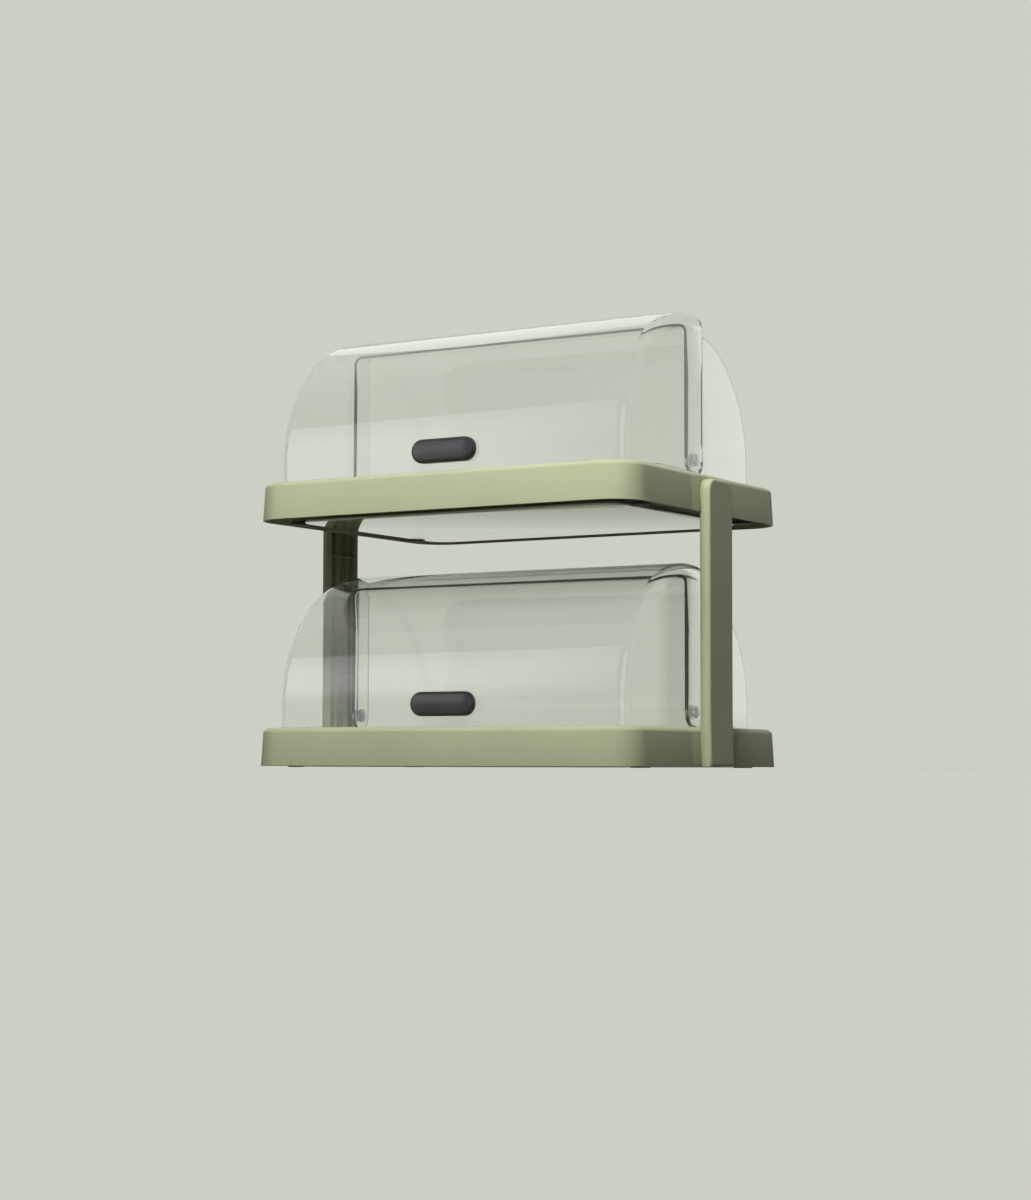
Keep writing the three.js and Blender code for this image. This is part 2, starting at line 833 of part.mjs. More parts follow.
tierNames.forEach((tierName, tier) => {
  const group = new THREE.Group();
  group.position.z = tier * tierPitch;
  const add = (name, solid, material) => addPiece(group, `${tierName}_${name}`, solid, material);
  add('base_frame', baseFrame(), sagePlastic());
  add('bottom_panel', bottomPanel(), smoothSagePlastic());
  footPlaces().forEach((place) => add(`foot_${place.name}`, foot(place), footRubber()));
  add('cold_pack_right', coldPack(), packPlastic());
  add('cold_pack_left', mirroredX(coldPack()), packPlastic());
  add('serving_tray', servingTray(), trayMetalFinish());
  add('back_shell', backShell(), clearPlastic());
  add('front_shell', frontShell(), clearPlastic());
  add('pivot_pin_right', pivotPin(), pinPlastic());
  add('pivot_pin_left', mirroredX(pivotPin()), pinPlastic());
  add('handle', handle(), gripPlastic());
  handleScrewPlaces().forEach((x) => {
    const side = x < 0 ? 'left' : 'right';
    add(`handle_screw_${side}`, handleScrew(x), screwMetal());
  });
  postScrewRows().forEach((y) => {
    const row = y < 0 ? 'front' : 'back';
    add(`post_screw_right_${row}`, postScrew(y), screwMetal());
    add(`post_screw_left_${row}`, mirroredX(postScrew(y)), screwMetal());
  });
  display.add(group);
});

addPiece(display, 'right_post', post(), sagePlastic());
addPiece(display, 'left_post', mirroredX(post()), sagePlastic());

export default display;
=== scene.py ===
# %% [markdown]
# # A chilled roll-top display in two tiers
#
# The real object is a buffet display without a cable: two moulded sage-green bases, each with freezer
# packs under a steel tray and a clear cover that rolls open, held one above the other by two posts.
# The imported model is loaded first. It fixes every place and size, and the cells below lay finer surfaces
# over it, in millimetres, each in the place of the solid it stands for.

# %% Load the frame
import math

import bmesh
import bpy
import numpy as np
from mathutils import Matrix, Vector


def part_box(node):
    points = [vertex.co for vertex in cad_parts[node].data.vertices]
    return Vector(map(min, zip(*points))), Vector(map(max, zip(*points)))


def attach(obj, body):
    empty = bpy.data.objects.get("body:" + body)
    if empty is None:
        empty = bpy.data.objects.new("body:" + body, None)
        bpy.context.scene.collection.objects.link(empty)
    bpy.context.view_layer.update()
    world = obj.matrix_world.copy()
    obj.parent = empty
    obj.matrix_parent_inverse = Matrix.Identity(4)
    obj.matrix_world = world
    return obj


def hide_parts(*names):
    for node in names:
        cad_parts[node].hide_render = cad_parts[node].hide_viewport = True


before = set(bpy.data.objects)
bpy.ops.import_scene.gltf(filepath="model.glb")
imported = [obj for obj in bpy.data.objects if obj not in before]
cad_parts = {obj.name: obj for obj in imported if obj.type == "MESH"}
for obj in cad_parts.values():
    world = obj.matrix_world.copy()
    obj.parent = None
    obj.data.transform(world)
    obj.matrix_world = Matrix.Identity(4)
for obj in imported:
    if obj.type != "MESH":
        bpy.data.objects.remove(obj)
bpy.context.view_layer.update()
tier_names = ("lower", "upper")
tier_pitch = (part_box("upper_base_frame")[0][2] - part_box("lower_base_frame")[0][2]) * 1000
print("nodes:", len(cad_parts), "tier pitch, mm:", round(tier_pitch, 2))

# %% [markdown]
# ## Camera
#
# The photograph was taken from the height of the feet and a little to the right, which hides every surface
# that faces up and shows the underside of the upper tier. The place, the direction and the focal length were
# worked out from the edges of the real object, so they are written down as they are.

# %% Camera
eye = np.array([1.3414, -2.2075, 0.00063])
turn, tilt, roll = 0.547689, 0.066712, 0.002384
focal_length, picture_height = 2497.8, 1200
level_forward = np.array([-math.sin(turn), math.cos(turn), 0.0])
forward = math.cos(tilt) * level_forward + np.array([0.0, 0.0, math.sin(tilt)])
level_right = np.array([math.cos(turn), math.sin(turn), 0.0])
level_up = np.cross(level_right, forward)
right = math.cos(roll) * level_right + math.sin(roll) * level_up
up = math.cos(roll) * level_up - math.sin(roll) * level_right

camera_data = bpy.data.cameras.new("camera")
camera_data.sensor_width = 36.0
camera_data.lens = focal_length / picture_height * camera_data.sensor_width
camera_data.clip_start = 0.0001
camera = bpy.data.objects.new("camera", camera_data)
bpy.context.scene.collection.objects.link(camera)
camera.matrix_world = Matrix(np.column_stack([right, up, -forward, eye]).tolist() + [[0, 0, 0, 1]])
bpy.context.scene.camera = camera
print("camera at", eye, "focal length", round(camera_data.lens, 2))

# %% [markdown]
# ## Helpers for node trees
#
# The studio and the finishes are small graphs that read a value, work on it and hand it on. Each helper adds
# one node to a tree and returns the socket that holds its result, so a graph reads from top to bottom.

# %% Helpers for node trees
def feed(tree, value, socket):
    """Gives a socket its value: another socket through a link, anything else as the socket's own constant."""
    if isinstance(value, bpy.types.NodeSocket):
        tree.links.new(value, socket)
    else:
        socket.default_value = value


def worked_out(tree, operation, first, second):
    """The result of one Math node on two values."""
    node = tree.nodes.new("ShaderNodeMath")
    node.operation = operation
    feed(tree, first, node.inputs[0])
    feed(tree, second, node.inputs[1])
    return node.outputs[0]


def stretched(tree, value, low, high, to_low, to_high, kind="SMOOTHSTEP"):
    """A value carried from one range to another, by a smooth step or, with LINEAR, in proportion."""
    node = tree.nodes.new("ShaderNodeMapRange")
    node.interpolation_type = kind
    node.inputs["From Min"].default_value, node.inputs["From Max"].default_value = low, high
    node.inputs["To Min"].default_value, node.inputs["To Max"].default_value = to_low, to_high
    tree.links.new(value, node.inputs["Value"])
    return node.outputs["Result"]


def between(tree, share, first, second, kind="FLOAT"):
    """A number or, with RGBA, a colour between two others, by a share from 0 to 1."""
    node = tree.nodes.new("ShaderNodeMix")
    node.data_type = kind
    feed(tree, share, node.inputs["Factor"])
    feed(tree, first, node.inputs["A"])
    feed(tree, second, node.inputs["B"])
    return node.outputs["Result"]


def mixed_shader(tree, share, first, second):
    """Two shaders mixed by a share from 0 to 1."""
    node = tree.nodes.new("ShaderNodeMixShader")
    for value, socket in zip((share, first, second), node.inputs):
        tree.links.new(value, socket)
    return node.outputs["Shader"]


print("node helpers ready")

# %% [markdown]
# ## Lamp and cards
#
# Satin plastic needs one soft lamp from above the front, a little to the right, so that the front faces are
# bright and the right faces fall into shade. Clear plastic is seen by what it mirrors, so four pale cards
# stand round it. A card could be a glowing sheet, but a rectangular lamp that is hidden from everything
# except mirrors is simpler, because it lights nothing. The card at the left front gives the lower part of
# each cover a soft lighter zone, the one at the right front draws a streak on the rounded corners, the one
# at the right back whitens the ends, and the one high behind draws the crowns.

# %% Lamp and cards
def area_lamp(name, place, target, width, height, power, card=True):
    """A rectangular lamp whose -Z axis looks from its place to its target, with Y kept upright. As a card it
    only shows in what mirrors it, and otherwise it lights the surfaces around it."""
    data = bpy.data.lights.new(name, "AREA")
    data.shape = "RECTANGLE"
    data.size, data.size_y, data.energy = width, height, power
    lamp = bpy.data.objects.new(name, data)
    lamp.visible_camera = lamp.visible_transmission = False
    lamp.visible_diffuse, lamp.visible_glossy = not card, card
    bpy.context.scene.collection.objects.link(lamp)
    back = np.array(place, float) - np.array(target, float)
    back /= np.linalg.norm(back)
    side = np.cross([0.0, 0.0, 1.0], back)
    side /= np.linalg.norm(side)
    axes = np.column_stack([side, np.cross(back, side), back, place])
    lamp.matrix_world = Matrix(axes.tolist() + [[0, 0, 0, 1]])
    return lamp


def fade(card, steps):
    """Weakens a card across its face. Each step runs smoothly along one coordinate of the card's points, from
    one strength to another, and the card's strength is the product of its steps."""
    card.data.use_nodes = True
    tree = card.data.node_tree
    place = tree.nodes.new("ShaderNodeNewGeometry").outputs["Position"]
    parts = tree.nodes.new("ShaderNodeSeparateXYZ")
    tree.links.new(place, parts.inputs["Vector"])
    strength = 1.0
    for axis, low, high, at_low, at_high in steps:
        share = stretched(tree, parts.outputs[axis], low, high, at_low, at_high)
        strength = worked_out(tree, "MULTIPLY", share, strength)
    tree.links.new(strength, tree.nodes["Emission"].inputs["Strength"])


area_lamp("key_lamp", (0.39, -1.10, 1.40), (0, -0.1, 0.30), 0.5, 0.35, 29.8, card=False)
area_lamp("crown_card", (-1.45, 2.1, 2.4), (0, 0, 0.45), 1.6, 1.4, 5)
area_lamp("corner_card", (1.05, -1.25, 0.60), (0.15, -0.1, 0.45), 0.9, 1.1, 6)
front_card = area_lamp("front_card", (-1.05, -1.20, 0.62), (-1.05, 0, 0.62), 2.1, 1.24, 24.5)
fade(front_card, [("X", -0.75, -0.02, 1.0, 0.0), ("Z", 0.15, 0.45, 0.3, 1.0), ("Z", 0.60, 1.24, 1.0, 0.5)])
end_card = area_lamp("end_card", (0.47, 0.62, 0.31), (0.47, 0, 0.31), 0.16, 0.58, 0.40)
fade(end_card, [("X", 0.49, 0.545, 1.0, 0.0), ("Z", 0.02, 0.08, 0.0, 1.0)])

# %% [markdown]
# ## Backdrop
#
# The backdrop is the world. A plain pale world would also light the shaded sides, which are deep on the real
# object, so a Light Path node tells the rays apart. A ray that comes straight from the camera, from a mirror
# or through clear plastic sees the pale backdrop, and every ray that has already bounced off a matt surface
# sees a nearly dark room. In mirrors the side of the backdrop behind the camera is dimmer.

# %% Backdrop
backdrop_colour = (0.60, 0.63, 0.56, 1.0)
room_colour, room_strength, mirrored_front = (0.80, 0.86, 0.72, 1.0), 0.01, 0.25
bounced = 0.5


def background(tree, colour, strength):
    """A Background shader of one colour."""
    node = tree.nodes.new("ShaderNodeBackground")
    node.inputs["Color"].default_value = colour
    feed(tree, strength, node.inputs["Strength"])
    return node.outputs["Background"]


world = bpy.data.worlds.new("studio")
bpy.context.scene.world = world
world.use_nodes = True
sky = world.node_tree
sky.nodes.clear()
ray = sky.nodes.new("ShaderNodeLightPath").outputs
direction = sky.nodes.new("ShaderNodeSeparateXYZ")
sky.links.new(sky.nodes.new("ShaderNodeTexCoord").outputs["Generated"], direction.inputs["Vector"])
from_mirror = worked_out(sky, "GREATER_THAN", ray["Glossy Depth"], bounced)
front_share = stretched(sky, direction.outputs["Y"], -0.6, 0.3, mirrored_front, 1.0)
backdrop = background(sky, backdrop_colour, between(sky, from_mirror, 1.0, front_share))
straight = worked_out(sky, "MAXIMUM", ray["Is Camera Ray"], ray["Is Glossy Ray"])
straight = worked_out(sky, "MAXIMUM", straight, ray["Is Transmission Ray"])
before_matt = worked_out(sky, "LESS_THAN", ray["Diffuse Depth"], bounced)
sees_backdrop = worked_out(sky, "MULTIPLY", straight, before_matt)
studio = mixed_shader(sky, sees_backdrop, background(sky, room_colour, room_strength), backdrop)
sky.links.new(studio, sky.nodes.new("ShaderNodeOutputWorld").inputs["Surface"])
bpy.context.scene.view_settings.view_transform = "Standard"
print("backdrop:", backdrop_colour[:3])

# %% [markdown]
# ## Floor
#
# The floor is one large square in the backdrop's colour. It is matt paint, which takes the object's shadow,
# mixed with a glow, and the glow grows with the distance, so that the far floor melts into the backdrop. To
# light that has bounced off a matt surface the floor is dark, which keeps the undersides deep.

# %% Floor
floor_mesh = bpy.data.meshes.new("floor")
floor_mesh.from_pydata([(-6, -6, 0), (6, -6, 0), (6, 6, 0), (-6, 6, 0)], [], [(0, 1, 2, 3)])
floor = bpy.data.objects.new("floor", floor_mesh)
bpy.context.scene.collection.objects.link(floor)
floor_paint = bpy.data.materials.new("floor_paint")
floor_paint.use_nodes = True
floor_mesh.materials.append(floor_paint)
coat = floor_paint.node_tree
ray = coat.nodes.new("ShaderNodeLightPath").outputs
after_matt = worked_out(coat, "GREATER_THAN", ray["Diffuse Depth"], bounced)
matt = coat.nodes["Principled BSDF"]
matt.inputs["Roughness"].default_value = 0.9
dark_floor = (0.05, 0.06, 0.035, 1.0)
feed(coat, between(coat, after_matt, backdrop_colour, dark_floor, "RGBA"), matt.inputs["Base Color"])
glow = coat.nodes.new("ShaderNodeEmission")
glow.inputs["Color"].default_value = backdrop_colour
distance = coat.nodes.new("ShaderNodeVectorMath")
distance.operation = "LENGTH"
coat.links.new(coat.nodes.new("ShaderNodeTexCoord").outputs["Object"], distance.inputs[0])
glow_share = stretched(coat, distance.outputs["Value"], 0.4, 1.6, 0.6, 1.0)
glow_share = worked_out(coat, "MAXIMUM", glow_share, ray["Is Glossy Ray"])
glow_share = between(coat, after_matt, glow_share, 0.0)
shown = mixed_shader(coat, glow_share, matt.outputs["BSDF"], glow.outputs["Emission"])
coat.links.new(shown, coat.nodes["Material Output"].inputs["Surface"])
print("floor side, m:", floor.dimensions.x)

# %% [markdown]
# ## Surfaces from grids
#
# Nearly every piece here is a moulding: a rounded outline that changes a little from level to level. It could
# be modelled face by face, but a grid of points worked out at once is exact and short. One helper turns such
# a grid into quads. The other gathers the surfaces of a piece into one mesh, welds it, turns its faces
# outwards and hands it to the frame.

# %% Surface and piece
def surface(grid, around=True, loop=False, caps=False):
    """Quads between neighbouring points of a grid (rows, columns, 3). around joins the last column to the
    first, loop joins the last row to the first, and caps closes the first and the last row with one face."""
    rows, columns = grid.shape[:2]
    row = np.arange(rows if loop else rows - 1)[:, None]
    column = np.arange(columns if around else columns - 1)[None, :]
    next_row, next_column = (row + 1) % rows, (column + 1) % columns
    quads = np.stack(
        [
            row * columns + column,
            row * columns + next_column,
            next_row * columns + next_column,
            next_row * columns + column,
        ],
        -1,
    )
    faces = quads.reshape(-1, 4).tolist()
    if caps:
        faces.append(list(range(columns))[::-1])
        faces.append(list(range((rows - 1) * columns, rows * columns)))
    return grid.reshape(-1, 3), faces


def piece(name, parts, material, body, node, sharp=40):
    """One object from several surfaces given in millimetres. It is welded, its faces are turned outwards,
    and edges that bend more than the sharp angle, in degrees, stay sharp."""
    starts = np.cumsum([0] + [len(points) for points, _ in parts])
    points = np.concatenate([points for points, _ in parts]) / 1000
    faces = [[int(start) + i for i in face] for start, (_, own) in zip(starts, parts) for face in own]
    mesh = bpy.data.meshes.new(name)
    mesh.from_pydata(points.tolist(), [], faces)
    work = bmesh.new()
    work.from_mesh(mesh)
    bmesh.ops.remove_doubles(work, verts=work.verts, dist=2e-6)
    bmesh.ops.recalc_face_normals(work, faces=work.faces)
    work.to_mesh(mesh)
    work.free()
    mesh.shade_smooth()
    mesh.set_sharp_from_angle(angle=math.radians(sharp))
    mesh.materials.append(material)
    made = bpy.data.objects.new(name, mesh)
    bpy.context.scene.collection.objects.link(made)
    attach(made, body)
    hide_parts(node)
    return made


print("surface and piece ready")

# %% [markdown]
# ## Profiles, rings and turned shapes
#
# No corner of a moulding is sharp. A bevel could round them afterwards, but here the rounding is already in
# the profile, so it is even all round and costs few faces. A profile is then carried round rounded
# rectangles or turned about an axis.

# %% Profiles, rings and turned shapes
def smooth_corners(stations, steps=4):
    """Rounds the corners of a profile. A station is a row of numbers whose last one is its rounding q. The
    corner P becomes (1-t)^2 A + 2t(1-t) P + t^2 B, where A and B lie q before and after P on the profile."""
    rows = []
    count = len(stations)
    for here, station in enumerate(stations):
        corner, rounding = np.array(station[:-1], float), station[-1]
        before = np.array(stations[here - 1][:-1], float)
        after = np.array(stations[(here + 1) % count][:-1], float)
        if rounding == 0:
            rows.append(corner)
            continue
        start = corner + (before - corner) * min(0.5, rounding / np.abs(before - corner).max())
        end = corner + (after - corner) * min(0.5, rounding / np.abs(after - corner).max())
        for t in np.linspace(0, 1, steps + 1):
            rows.append((1 - t) ** 2 * start + 2 * t * (1 - t) * corner + t**2 * end)
    return np.array(rows)


def rounded_rectangle(half_x, half_y, radius, height, stops=(), corner_steps=14):
    """A level ring of points, anticlockwise: quarter circles about the four corner centres, and on the two
    sides that face along X a point at each stop."""
    angles = np.linspace(0, math.pi / 2, corner_steps + 1)
    stops = np.array(stops, float)
    corner = radius * np.column_stack([np.cos(angles), np.sin(angles)])
    turned = [corner @ np.array([[c, s], [-s, c]]) for c, s in ((1, 0), (0, 1), (-1, 0), (0, -1))]
    centre_x, centre_y = half_x - radius, half_y - radius
    ring = np.concatenate(
        [
            np.column_stack([np.full(len(stops), half_x), stops]),
            turned[0] + [centre_x, centre_y],
            turned[1] + [-centre_x, centre_y],
            np.column_stack([np.full(len(stops), -half_x), stops[::-1]]),
            turned[2] + [-centre_x, -centre_y],
            turned[3] + [centre_x, -centre_y],
        ]
    )
    return np.column_stack([ring, np.full(len(ring), height)])


def rings(stations, stops=(), corner_steps=14):
    """Rounded rectangles stacked into a grid, one for each station (half x, half y, radius, height)."""
    return np.stack([rounded_rectangle(*station[:4], stops, corner_steps) for station in stations])


def turned_on(profile, centre, axis, steps=32):
    """A turned shape: each (radius, distance) of the profile goes once around the axis through the centre."""
    profile = np.array(profile, float)
    angle = np.linspace(0, 2 * math.pi, steps, endpoint=False)
    across = profile[:, :1] * np.cos(angle), profile[:, :1] * np.sin(angle)
    along = np.repeat(profile[:, 1:], steps, axis=1)
    order = {"x": (along, *across), "y": (across[1], along, across[0]), "z": (*across, along)}[axis]
    return surface(np.stack(order, -1) + np.array(centre, float), caps=True)


print("shape helpers ready")

# %% [markdown]
# ## Materials
#
# A flat colour looks false, because real surfaces vary a little in colour, gloss and relief. Painted images
# could give that, but noise nodes on Object coordinates need no unwrapping, belong to the piece and move
# with it.

# %% Helpers for materials
def new_material(name):
    """A material with its Principled shader, its node tree and the Object coordinates at hand."""
    material = bpy.data.materials.new(name)
    material.use_nodes = True
    tree = material.node_tree
    coordinates = tree.nodes.new("ShaderNodeTexCoord")
    return material, tree, tree.nodes["Principled BSDF"], coordinates.outputs["Object"]


def noise(tree, where, scale, detail=3.0, stretch=None):
    """Noise on Object coordinates. scale counts its waves in a metre, and stretch scales its axes."""
    if stretch:
        mapping = tree.nodes.new("ShaderNodeMapping")
        mapping.inputs["Scale"].default_value = stretch
        tree.links.new(where, mapping.inputs["Vector"])
        where = mapping.outputs["Vector"]
    texture = tree.nodes.new("ShaderNodeTexNoise")
    texture.inputs["Scale"].default_value = scale
    texture.inputs["Detail"].default_value = detail
    tree.links.new(where, texture.inputs["Vector"])
    return texture.outputs["Fac"]


def spread(tree, value, low, high):
    """Carries a noise value, which mostly lies between 0.3 and 0.7, to the range from low to high."""
    return stretched(tree, value, 0.3, 0.7, low, high, "LINEAR")


def blend_colours(tree, value, first, second):
    """A colour between two colours, by a value from 0 to 1."""
    return between(tree, value, (*first, 1.0), (*second, 1.0), "RGBA")


def bump(tree, shader, height, depth):
    """Small relief of the given depth in metres, from a height value."""
    node = tree.nodes.new("ShaderNodeBump")
    node.inputs["Distance"].default_value = depth
    tree.links.new(height, node.inputs["Height"])
    tree.links.new(node.outputs["Normal"], shader.inputs["Normal"])


print("material helpers ready")

# %% [markdown]
# ## Three kinds of finish
#
# The moulded plastic has the fine spark-eroded grain of its tool and a faint cloudiness. The clear plastic
# is cast acrylic with a slight haze from wiping. A shader that lets the lamps through stands in for the
# light that real clear plastic passes on to the tray below, which would be slow to trace. The steel is
# brushed, so its noise is drawn out along one axis.

# %% Three kinds of finish
cloud_waves, gloss_waves, wiping_waves, scratch_waves = 9, 40, 25, 700
gloss_swing, wiping_swing, scratch_swing = 0.04, 0.03, 0.16
dull_share, scratch_depth, lamp_share = 0.86, 0.00003, 0.9


def moulded_plastic(name, colour, roughness, grain_depth, cloud=0.05, grain=900, gloss_level=0.5, coat=0.0):
    """Plastic from a textured mould: cloudy colour, uneven gloss and fine grain."""
    material, tree, shader, where = new_material(name)
    darker = [c * (1 - cloud) for c in colour]
    lighter = [min(1.0, c * (1 + cloud)) for c in colour]
    clouds = spread(tree, noise(tree, where, cloud_waves), 0, 1)
    tree.links.new(blend_colours(tree, clouds, darker, lighter), shader.inputs["Base Color"])
    uneven = noise(tree, where, gloss_waves, 4)
    gloss = spread(tree, uneven, roughness - gloss_swing, roughness + gloss_swing)
    tree.links.new(gloss, shader.inputs["Roughness"])
    shader.inputs["IOR"].default_value = 1.5
    shader.inputs["Specular IOR Level"].default_value = gloss_level
    shader.inputs["Coat Weight"].default_value = coat
    bump(tree, shader, noise(tree, where, grain, 2), grain_depth)
    return material


def clear_plastic(name, tint, haze, roughness):
    """Cast acrylic: it passes light with a faint tint, and a little of it scatters as haze. Lamps shine
    through it, so that what stands inside is lit."""
    material, tree, shader, where = new_material(name)
    shader.inputs["Base Color"].default_value = (*tint, 1.0)
    shader.inputs["Transmission Weight"].default_value = 1 - haze
    shader.inputs["IOR"].default_value = 1.49
    wiped = noise(tree, where, wiping_waves, 5, stretch=(0.4, 1.0, 1.0))
    tree.links.new(spread(tree, wiped, roughness, roughness + wiping_swing), shader.inputs["Roughness"])
    to_lamp = tree.nodes.new("ShaderNodeLightPath").outputs["Is Shadow Ray"]
    passing = tree.nodes.new("ShaderNodeBsdfTransparent")
    passing.inputs["Color"].default_value = (*[lamp_share * c for c in tint], 1.0)
    both = mixed_shader(tree, to_lamp, shader.outputs["BSDF"], passing.outputs["BSDF"])
    tree.links.new(both, tree.nodes["Material Output"].inputs["Surface"])
    return material


def brushed_steel(name, colour, roughness, stretch):
    """Steel with a grain of fine scratches that run along the axis whose stretch is smallest."""
    material, tree, shader, where = new_material(name)
    shader.inputs["Metallic"].default_value = 1.0
    scratches = noise(tree, where, scratch_waves, 3, stretch=stretch)
    dull = [c * dull_share for c in colour]
    scratched = blend_colours(tree, spread(tree, scratches, 0, 1), dull, colour)
    tree.links.new(scratched, shader.inputs["Base Color"])
    tree.links.new(spread(tree, scratches, roughness, roughness + scratch_swing), shader.inputs["Roughness"])
    bump(tree, shader, scratches, scratch_depth)
    return material


print("kinds of finish ready")

# %% [markdown]
# ## The finishes
#
# The moulded parts are sage green with a fine grain and hardly any shine, and the panels under the bases are
# the same plastic from a polished mould. The covers are clear, the pins a cloudier plastic. The grips are a
# dark satin, the feet rubber, the packs a soft blue plastic, and the trays and screws stainless steel. Each
# could have a graph of its own, but within a kind they differ only in a few numbers.

# %% The finishes
sage = moulded_plastic("sage_plastic", (0.50, 0.53, 0.34), 0.46, 0.00005, gloss_level=0.15)
smooth_sage = moulded_plastic("smooth_sage_plastic", (0.46, 0.49, 0.31), 0.06, 0.000001, cloud=0.03, coat=1.0)
acrylic = clear_plastic("clear_acrylic", (0.955, 0.97, 0.945), 0.03, 0.015)
pin_acrylic = clear_plastic("pin_acrylic", (0.90, 0.92, 0.95), 0.30, 0.08)
anthracite = moulded_plastic("anthracite_plastic", (0.026, 0.025, 0.030), 0.40, 0.00004, cloud=0.12)
rubber = moulded_plastic("foot_rubber", (0.030, 0.031, 0.030), 0.72, 0.00012, cloud=0.2, grain=600)
pack_blue = moulded_plastic("pack_plastic", (0.06, 0.24, 0.50), 0.34, 0.00030, cloud=0.08, grain=120)
tray_steel = brushed_steel("tray_steel", (0.66, 0.67, 0.68), 0.20, (0.03, 1.0, 1.0))
screw_steel = brushed_steel("screw_steel", (0.60, 0.61, 0.62), 0.26, (1.0, 1.0, 1.0))
print("materials:", [m.name for m in bpy.data.materials])

# %% [markdown]
# ## Base frames: the profile
#
# Each base is a moulded ring: an outer skirt with a little draft, a rounded shoulder, a flat rim, a ledge
# for the covers, a step for the tray and a tub wall. It could be cut out of a block, but the real one is a
# thin wall that follows the same rounded rectangle at every level, so the whole closed profile is carried
# around that rectangle.

# %% Base frame profile
half_width, half_depth, case_round = 222.5, 170.0, 37.0
skirt_draft, wall = 2.0, 2.5
shoulder_foot, shoulder_rise, shoulder_in = 34.5, 5.5, 9
rim, ledge, tray_step, tub_foot = 40.0, 36.0, 33.0, 3.6


def case_station(inset, height, rounding=0.0):
    """A level of the case's outside: half x, half y, radius, height, share of the pad's swell, rounding."""
    return (half_width - inset, half_depth - inset, case_round - inset, height, 1, rounding)


shoulder = [
    case_station(skirt_draft + shoulder_in * (1 - math.cos(a)), shoulder_foot + shoulder_rise * math.sin(a))
    for a in np.linspace(0.12, 1, 8) * math.pi / 2
]
frame_profile = [
    case_station(0, 1.0, 0.6), case_station(skirt_draft, shoulder_foot), *shoulder,
    (208, 149, 10, rim, 0, 0.9), (208, 149, 10, ledge, 0, 0.8),
    (196, 126.5, 16, ledge, 0, 0.8), (196, 126.5, 16, tray_step, 0, 0.6),
    (190, 120.5, 10, tray_step, 0, 0.9), (181, 118.5, 10, tub_foot, 0, 0.4),
    (183.5, 121, 12.5, tub_foot, 0, 0.4), (191.7, 122.8, 12.5, tray_step - wall, 0, 0.6),
    (198.5, 129, 18.5, tray_step - wall, 0, 0.4), (198.5, 129, 18.5, ledge - wall, 0, 0.6),
    (209, 152, 16, ledge - wall, 0, 1.0), (211, 158, 22, 36.8, 0, 1.0),
    (218, 165.5, 32.5, 34.2, 0, 1.5), (220, 167.5, 34.5, 1.0, 0, 0.6),
]
print("corners in the profile:", len(frame_profile))

# %% [markdown]
# ## Base frames: pads, ribs and bosses
#
# On both sides the skirt swells into a flat pad, and a shallow pocket takes the post. The pad could be a
# block on the skirt, but the swell runs into it without an edge, so it moves the points of the grid. Thin
# ribs stiffen the skirt from inside, and a boss at each corner holds the stem of a foot.

# %% Base frames
pad_proud, pad_flat, pad_blend, pocket = 1.7, 26.5, 17.0, (25.8, 222.4)
blend_stops = pad_flat + pad_blend * np.linspace(0, 1, 10)
pad_stops = np.concatenate([[0.0, 14.0, pocket[0] - 0.02, pocket[0] + 0.02], blend_stops])
pad_stops = np.concatenate([-pad_stops[:0:-1], pad_stops])
end_rib = [
    (184.8, 10), (191, 31.2), (197.9, 31.2), (197.9, 34.2), (208.6, 34.2), (210.8, 37.3), (218.4, 34.8),
    (220.2, 10),
]
side_rib = [
    (120.8, 10), (122.2, 31.2), (128.4, 31.2), (128.4, 34.2), (151.7, 34.2), (157.8, 37.4), (165.9, 34.8),
    (167.6, 10),
]
end_rib_places, side_rib_places = (-37, 37), (-129, -43, 43, 129)
rib_sections = ((-1, 0.3), (-0.7, 0), (0.7, 0), (1, 0.3))
foot_boss = [(0.4, 12.3), (2.8, 12.3), (2.8, 3.3), (6.7, 3.3), (7, 3.6), (7, 34.2), (0.4, 34.2)]
foot_places = [(sx * 201.75, sy * 110.0) for sy in (-1, 1) for sx in (-1, 1)]


def pad_swell(y):
    """1 on the flat of the pad, 0 beyond it, and half a cosine wave between."""
    along = np.clip((np.abs(y) - pad_flat) / pad_blend, 0, 1)
    return (1 + np.cos(math.pi * along)) / 2


def base_frame_grid(lift):
    """The closed profile carried round the rectangle. The skirt's outside moves out by the swell of the pad
    and stops at the floor of the post's pocket."""
    stations = smooth_corners(frame_profile)
    grid = rings(stations, pad_stops)
    x, y = grid[..., 0], grid[..., 1]
    share = stations[:, 4][:, None]
    reach = np.abs(x) + pad_proud * share * pad_swell(y)
    in_pocket = (share > 0) & (np.abs(y) < pocket[0])
    grid[..., 0] = np.sign(x) * np.where(in_pocket, np.minimum(reach, pocket[1]), reach)
    return grid + [0, 0, lift]


def rib_plate(outline, axis, side, place, lift):
    """A thin upright plate. Its outline (distance from the middle, height) lies across the given axis. It
    is drawn at four offsets, and at the outer two its lower points rise a little, which breaks the edge."""
    outline = np.array(outline, float)
    rows = []
    for offset, rise in rib_sections:
        heights = outline[:, 1] + lift
        heights[[0, -1]] += rise
        across = np.full(len(outline), place + offset)
        columns = (side * outline[:, 0], across) if axis == "x" else (across, side * outline[:, 0])
        rows.append(np.column_stack([*columns, heights]))
    return surface(np.stack(rows), caps=True)


